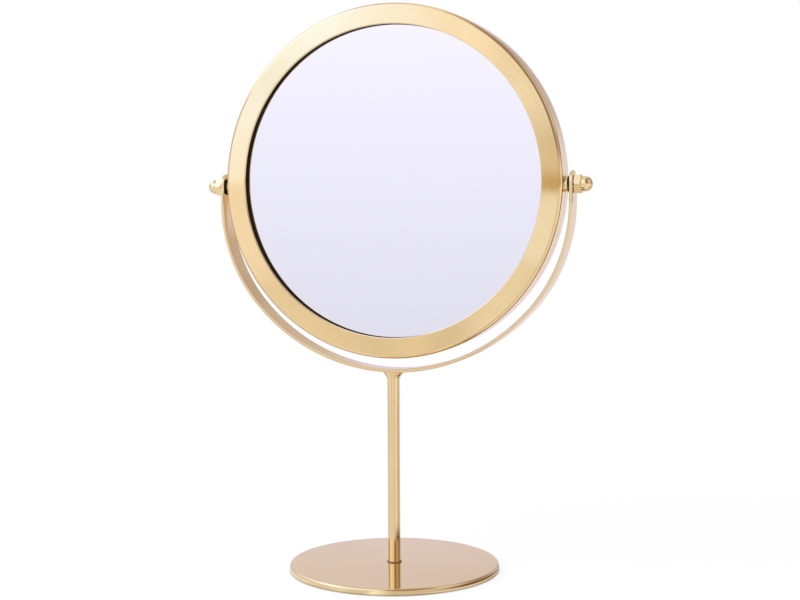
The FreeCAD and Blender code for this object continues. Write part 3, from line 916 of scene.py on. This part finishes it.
# Tones round the object by bearing, as (degrees, colour): first the painted light and shade of the
# table, which the floor glows with, then the rings of the room from low to the ceiling, with pale
# walls, a tall window on the left and the dark corner where the camera stands.
PAINTED_TABLE_LIGHT = (
    (-180, (0.85, 0.82, 0.90)),
    (-150, (0.72, 0.72, 0.85)),
    (-106, (0.74, 0.75, 0.92)),
    (-80, (0.93, 0.92, 0.97)),
    (-62, (0.96, 0.93, 0.90)),
    (-46, (0.84, 0.81, 0.78)),
    (-38, (0.88, 0.86, 0.84)),
    (-31, (0.94, 0.91, 0.88)),
    (-24, (0.79, 0.78, 0.77)),
    (-17, (0.79, 0.77, 0.76)),
    (-12, (1.14, 1.20, 1.34)),
    (-5, (0.88, 0.85, 0.80)),
    (-1, (0.74, 0.70, 0.62)),
    (14, (0.76, 0.72, 0.66)),
    (27, (1.00, 0.98, 1.00)),
    (48, (1.02, 1.00, 1.05)),
    (64, (0.75, 0.70, 0.76)),
    (84, (0.62, 0.58, 0.68)),
    (116, (0.70, 0.68, 0.80)),
    (141, (0.92, 0.91, 1.04)),
    (180, (0.85, 0.82, 0.90)),
)
TABLE_TONES = (
    (-180, (0.80, 0.78, 0.86)),
    (-110, (0.72, 0.70, 0.78)),
    (-88, (1.02, 1.02, 1.08)),
    (-60, (1.08, 1.08, 1.15)),
    (-46, (0.76, 0.75, 0.85)),
    (-30, (0.81, 0.80, 0.90)),
    (-18, (1.04, 1.08, 1.18)),
    (-10, (1.08, 1.16, 1.36)),
    (-4, (0.84, 0.80, 0.76)),
    (12, (0.82, 0.76, 0.72)),
    (28, (1.02, 1.00, 1.02)),
    (62, (1.08, 1.08, 1.12)),
    (92, (0.62, 0.60, 0.74)),
    (115, (0.66, 0.65, 0.80)),
    (141, (0.90, 0.90, 1.05)),
    (180, (0.80, 0.78, 0.86)),
)
LOW_TONES = (
    (-180, (0.82, 0.80, 0.93)),
    (-135, (0.64, 0.61, 0.68)),
    (-110, (0.60, 0.58, 0.66)),
    (-95, (0.78, 0.76, 0.84)),
    (-84, (1.05, 1.15, 1.50)),
    (-70, (1.17, 1.36, 1.80)),
    (-54, (1.10, 1.20, 1.48)),
    (-47, (0.85, 0.84, 0.95)),
    (-32, (0.90, 0.89, 0.99)),
    (-24, (0.90, 0.88, 0.92)),
    (-12, (0.85, 0.81, 0.72)),
    (-2, (0.78, 0.72, 0.62)),
    (14, (0.68, 0.58, 0.48)),
    (32, (0.98, 0.95, 0.95)),
    (62, (1.05, 1.04, 1.08)),
    (90, (0.50, 0.44, 0.54)),
    (115, (0.56, 0.52, 0.68)),
    (141, (0.86, 0.87, 1.05)),
    (180, (0.82, 0.80, 0.93)),
)
MIDDLE_TONES = (
    (-180, (0.77, 0.73, 0.80)),
    (-135, (0.84, 0.74, 0.75)),
    (-110, (0.55, 0.46, 0.48)),
    (-98, (0.58, 0.52, 0.52)),
    (-84, (1.12, 1.22, 1.50)),
    (-70, (1.18, 1.40, 1.99)),
    (-52, (1.00, 1.24, 1.80)),
    (-40, (1.02, 1.02, 1.13)),
    (-22, (1.28, 1.28, 1.30)),
    (-8, (0.90, 0.95, 1.08)),
    (-2, (0.42, 0.34, 0.30)),
    (4, (0.36, 0.28, 0.24)),
    (22, (0.38, 0.31, 0.28)),
    (36, (0.55, 0.50, 0.50)),
    (56, (0.60, 0.54, 0.54)),
    (78, (0.55, 0.48, 0.48)),
    (94, (0.32, 0.25, 0.22)),
    (112, (0.40, 0.33, 0.34)),
    (130, (0.55, 0.47, 0.52)),
    (148, (0.70, 0.64, 0.68)),
    (157, (0.58, 0.53, 0.54)),
    (168, (0.58, 0.53, 0.54)),
    (174, (0.74, 0.69, 0.76)),
    (180, (0.77, 0.73, 0.80)),
)
HIGH_TONES = (
    (-180, (0.72, 0.66, 0.74)),
    (-155, (0.90, 0.95, 1.20)),
    (-128, (1.15, 1.38, 2.10)),
    (-105, (1.20, 1.40, 2.00)),
    (-90, (1.45, 1.48, 1.65)),
    (-70, (1.36, 1.66, 2.55)),
    (-50, (1.20, 1.42, 2.05)),
    (-32, (1.10, 1.17, 1.33)),
    (-20, (1.10, 1.10, 1.16)),
    (-9, (0.36, 0.27, 0.33)),
    (9, (0.36, 0.27, 0.28)),
    (24, (0.36, 0.29, 0.28)),
    (44, (0.42, 0.36, 0.35)),
    (56, (0.90, 0.87, 0.88)),
    (75, (0.95, 0.92, 0.92)),
    (90, (0.75, 0.65, 0.65)),
    (115, (0.35, 0.27, 0.28)),
    (135, (0.30, 0.25, 0.27)),
    (155, (0.66, 0.60, 0.64)),
    (180, (0.72, 0.66, 0.74)),
)
CEILING_TONES = (
    (-180, (1.00, 0.96, 0.95)),
    (-140, (0.92, 0.88, 0.85)),
    (-100, (0.62, 0.54, 0.45)),
    (-78, (0.72, 0.66, 0.62)),
    (-52, (1.05, 1.12, 1.40)),
    (-25, (0.90, 0.88, 0.92)),
    (0, (0.48, 0.40, 0.36)),
    (30, (0.40, 0.33, 0.29)),
    (70, (0.42, 0.35, 0.32)),
    (110, (0.60, 0.55, 0.52)),
    (150, (0.95, 0.91, 0.90)),
    (180, (1.00, 0.96, 0.95)),
)
# Heights above the horizon, in degrees, between which one ring of tones gives way to the next.
LOW_TO_MIDDLE = (5, 12)
MIDDLE_TO_HIGH = (18, 25)
HIGH_TO_CEILING = (48, 62)
# The far edge of the table, a little higher on the left: bearing and height above the horizon.
LEFT_HORIZON = (-68, 0.7)
RIGHT_HORIZON = (-9, -1.3)
HORIZON_BLUR = 0.5
# The bluish foot of the wall behind, which the far half of the base plate shows.
BACK_FOOT_SIDES = (166, 174)
BACK_FOOT_HEIGHT = (12.6, 14.5)
BACK_FOOT_TONE = (0.83, 0.80, 1.04, 1.0)
# The pale screen that the glass shows, which hides the table's edge.
SCREEN_SIDES = (-56, -48, -28, -22)
SCREEN_HEIGHT = (-10.0, -7.5, 9.0, 13.0)
SCREEN_LOW_TONE = (0.76, 0.75, 0.85, 1.0)
SCREEN_HIGH_TONE = (1.02, 1.00, 1.11, 1.0)
# The dark skirting along the horizon in front.
SKIRTING_TONE = (0.60, 0.45, 0.22, 1.0)
SKIRTING_HEIGHT = (0.0, 3.5)
SKIRTING_SIDES = (-26, -14, 20, 60)


# The soft lamp on the left: metres, and watts.
SOFTBOX_PLACE = Vector((-0.9, -0.55, 0.75))
SOFTBOX_TARGET = Vector((0.0, 0.0, 0.2))
SOFTBOX_SIZE = 0.5
SOFTBOX_POWER = 1.5


def bearing_turn(tree, vector):
    """Bearing of a vector from the camera's stand, in degrees and as a share of the full turn."""
    ahead = along(tree, vector, Vector((math.sin(STAND_BEARING), -math.cos(STAND_BEARING), 0)))
    aside = along(tree, vector, Vector((math.cos(STAND_BEARING), math.sin(STAND_BEARING), 0)))
    bearing = math_node(tree, "DEGREES", math_node(tree, "ARCTAN2", aside, ahead))
    return bearing, ranged(tree, bearing, -180.0, 180.0, 0.0, 1.0)


def along(tree, vector, direction):
    """How far a vector runs along a fixed direction."""
    return vector_node(tree, "DOT_PRODUCT", vector, direction)


def tone_ramp(tree, value, tones):
    """Colour ramp all the way round from a list of (degrees, colour)."""
    ramp = add_node(tree, "ShaderNodeValToRGB", None, {"Fac": value})
    bands = ramp.color_ramp.elements
    while len(bands) < len(tones):
        bands.new(0.5)
    for band, (degrees, tone) in zip(bands, tones):
        band.position = (degrees + 180) / 360
        band.color = (*tone, 1.0)
    return ramp.outputs["Color"]


def blend_shaders(tree, share, first, second):
    """The first shader shading into the second as the share goes from 0 to 1."""
    return add_node(tree, "ShaderNodeMixShader", None, {
        0: share, 1: first.outputs[0], 2: second.outputs[0]})


def show_surface(tree, output, for_others, for_camera):
    """Camera rays see one shader, and all the other rays see another."""
    seen = tree.nodes.new("ShaderNodeLightPath").outputs["Is Camera Ray"]
    choice = blend_shaders(tree, seen, for_others, for_camera)
    tree.links.new(choice.outputs[0], output.inputs["Surface"])


def floor_material():
    """Pale and matt for the camera; for everything else it glows with painted light and shade of the
    near table and a painted shadow beside the base.
    """
    material = bpy.data.materials.new("pale_floor")
    material.use_nodes = True
    tree = material.node_tree
    tree.nodes.clear()
    output = tree.nodes.new("ShaderNodeOutputMaterial")
    place = tree.nodes.new("ShaderNodeTexCoord").outputs["Object"]
    bearing, turn = bearing_turn(tree, place)
    reach = vector_node(tree, "LENGTH", place)
    matt = add_node(tree, "ShaderNodeBsdfDiffuse", None, {"Color": FLOOR_MATT})
    white = add_node(tree, "ShaderNodeEmission", None, {
        "Color": FLOOR_WHITE, "Strength": FLOOR_WHITE_STRENGTH})
    lift = ranged(tree, reach, *FOOT_GAP_RADII, 0.0, FLOOR_LIFT, True)
    shade = math_node(
        tree, "MULTIPLY", span_mask(tree, reach, BASE_SHADE_RADII),
        span_mask(tree, bearing, BASE_SHADE_SIDES))
    # Painted light and shade of the table by bearing, with the painted shadow of the base.
    tone = mixed(tree, shade, tone_ramp(tree, turn, PAINTED_TABLE_LIGHT), BASE_SHADE_TONE)
    lit = add_node(tree, "ShaderNodeEmission", None, {"Color": tone, "Strength": 1.0})
    show_surface(tree, output, lit, blend_shaders(tree, lift, matt, white))
    return material


def make_floor():
    bm = bmesh.new()
    bmesh.ops.create_circle(bm, cap_ends=True, segments=96, radius=FLOOR_RADIUS)
    bmesh.ops.translate(bm, vec=(0, 0, -FLOOR_DROP), verts=bm.verts)
    mesh = bpy.data.meshes.new("floor")
    bm.to_mesh(mesh)
    bm.free()
    mesh.materials.append(floor_material())
    floor = bpy.data.objects.new("floor", mesh)
    bpy.context.scene.collection.objects.link(floor)


def studio_tone(tree, way):
    """Tones of the room by bearing and height, from the table's edge up to the ceiling."""
    height = add_node(tree, "ShaderNodeSeparateXYZ", None, {"Vector": way}).outputs["Z"]
    bearing, turn = bearing_turn(tree, way)
    angle = math_node(tree, "DEGREES", math_node(tree, "ARCSINE", height))
    low = ranged(tree, angle, *SKIRTING_HEIGHT, 1.0, 0.0, True)
    skirting = math_node(tree, "MULTIPLY", span_mask(tree, bearing, SKIRTING_SIDES), low)
    tone = mixed(tree, skirting, tone_ramp(tree, turn, LOW_TONES), SKIRTING_TONE)
    rings = (
        (LOW_TO_MIDDLE, MIDDLE_TONES), (MIDDLE_TO_HIGH, HIGH_TONES), (HIGH_TO_CEILING, CEILING_TONES),
    )
    for span, tones in rings:
        rise = ranged(tree, angle, *span, 0.0, 1.0, True)
        tone = mixed(tree, rise, tone, tone_ramp(tree, turn, tones))
    aside = ranged(tree, math_node(tree, "ABSOLUTE", bearing), *BACK_FOOT_SIDES, 0.0, 1.0)
    foot = ranged(tree, angle, *BACK_FOOT_HEIGHT, 1.0, 0.0)
    tone = mixed(tree, math_node(tree, "MULTIPLY", aside, foot), tone, BACK_FOOT_TONE)
    horizon = ranged(
        tree, bearing, LEFT_HORIZON[0], RIGHT_HORIZON[0], LEFT_HORIZON[1], RIGHT_HORIZON[1])
    above = ranged(
        tree, math_node(tree, "SUBTRACT", angle, horizon), -HORIZON_BLUR, HORIZON_BLUR, 0.0, 1.0, True)
    tone = mixed(tree, above, tone_ramp(tree, turn, TABLE_TONES), tone)
    screen = math_node(
        tree, "MULTIPLY", span_mask(tree, bearing, SCREEN_SIDES), span_mask(tree, angle, SCREEN_HEIGHT))
    fade = ranged(tree, angle, SCREEN_HEIGHT[1], SCREEN_HEIGHT[2], 0.0, 1.0)
    return mixed(tree, screen, tone, mixed(tree, fade, SCREEN_LOW_TONE, SCREEN_HIGH_TONE))


def make_surroundings():
    """White backdrop for the camera; a soft studio of pale walls for everything else."""
    world = bpy.data.worlds.new("studio")
    bpy.context.scene.world = world
    world.use_nodes = True
    tree = world.node_tree
    tree.nodes.clear()
    output = tree.nodes.new("ShaderNodeOutputWorld")
    way = tree.nodes.new("ShaderNodeTexCoord").outputs["Generated"]
    studio = add_node(tree, "ShaderNodeBackground", None, {
        "Color": studio_tone(tree, way), "Strength": 1.0})
    white = add_node(tree, "ShaderNodeBackground", None, {
        "Color": (1.0, 1.0, 1.0, 1.0), "Strength": 1.0})
    show_surface(tree, output, studio, white)


def add_softbox():
    data = bpy.data.lights.new("left_softbox", "AREA")
    data.shape = "RECTANGLE"
    data.size = SOFTBOX_SIZE
    data.size_y = SOFTBOX_SIZE
    data.energy = SOFTBOX_POWER
    light = bpy.data.objects.new("left_softbox", data)
    turn = (SOFTBOX_TARGET - SOFTBOX_PLACE).to_track_quat("-Z", "Y").to_matrix().to_4x4()
    light.matrix_world = Matrix.Translation(SOFTBOX_PLACE) @ turn
    light.visible_glossy = False
    bpy.context.scene.collection.objects.link(light)


make_floor()
make_surroundings()
add_softbox()

bpy.context.view_layer.update()
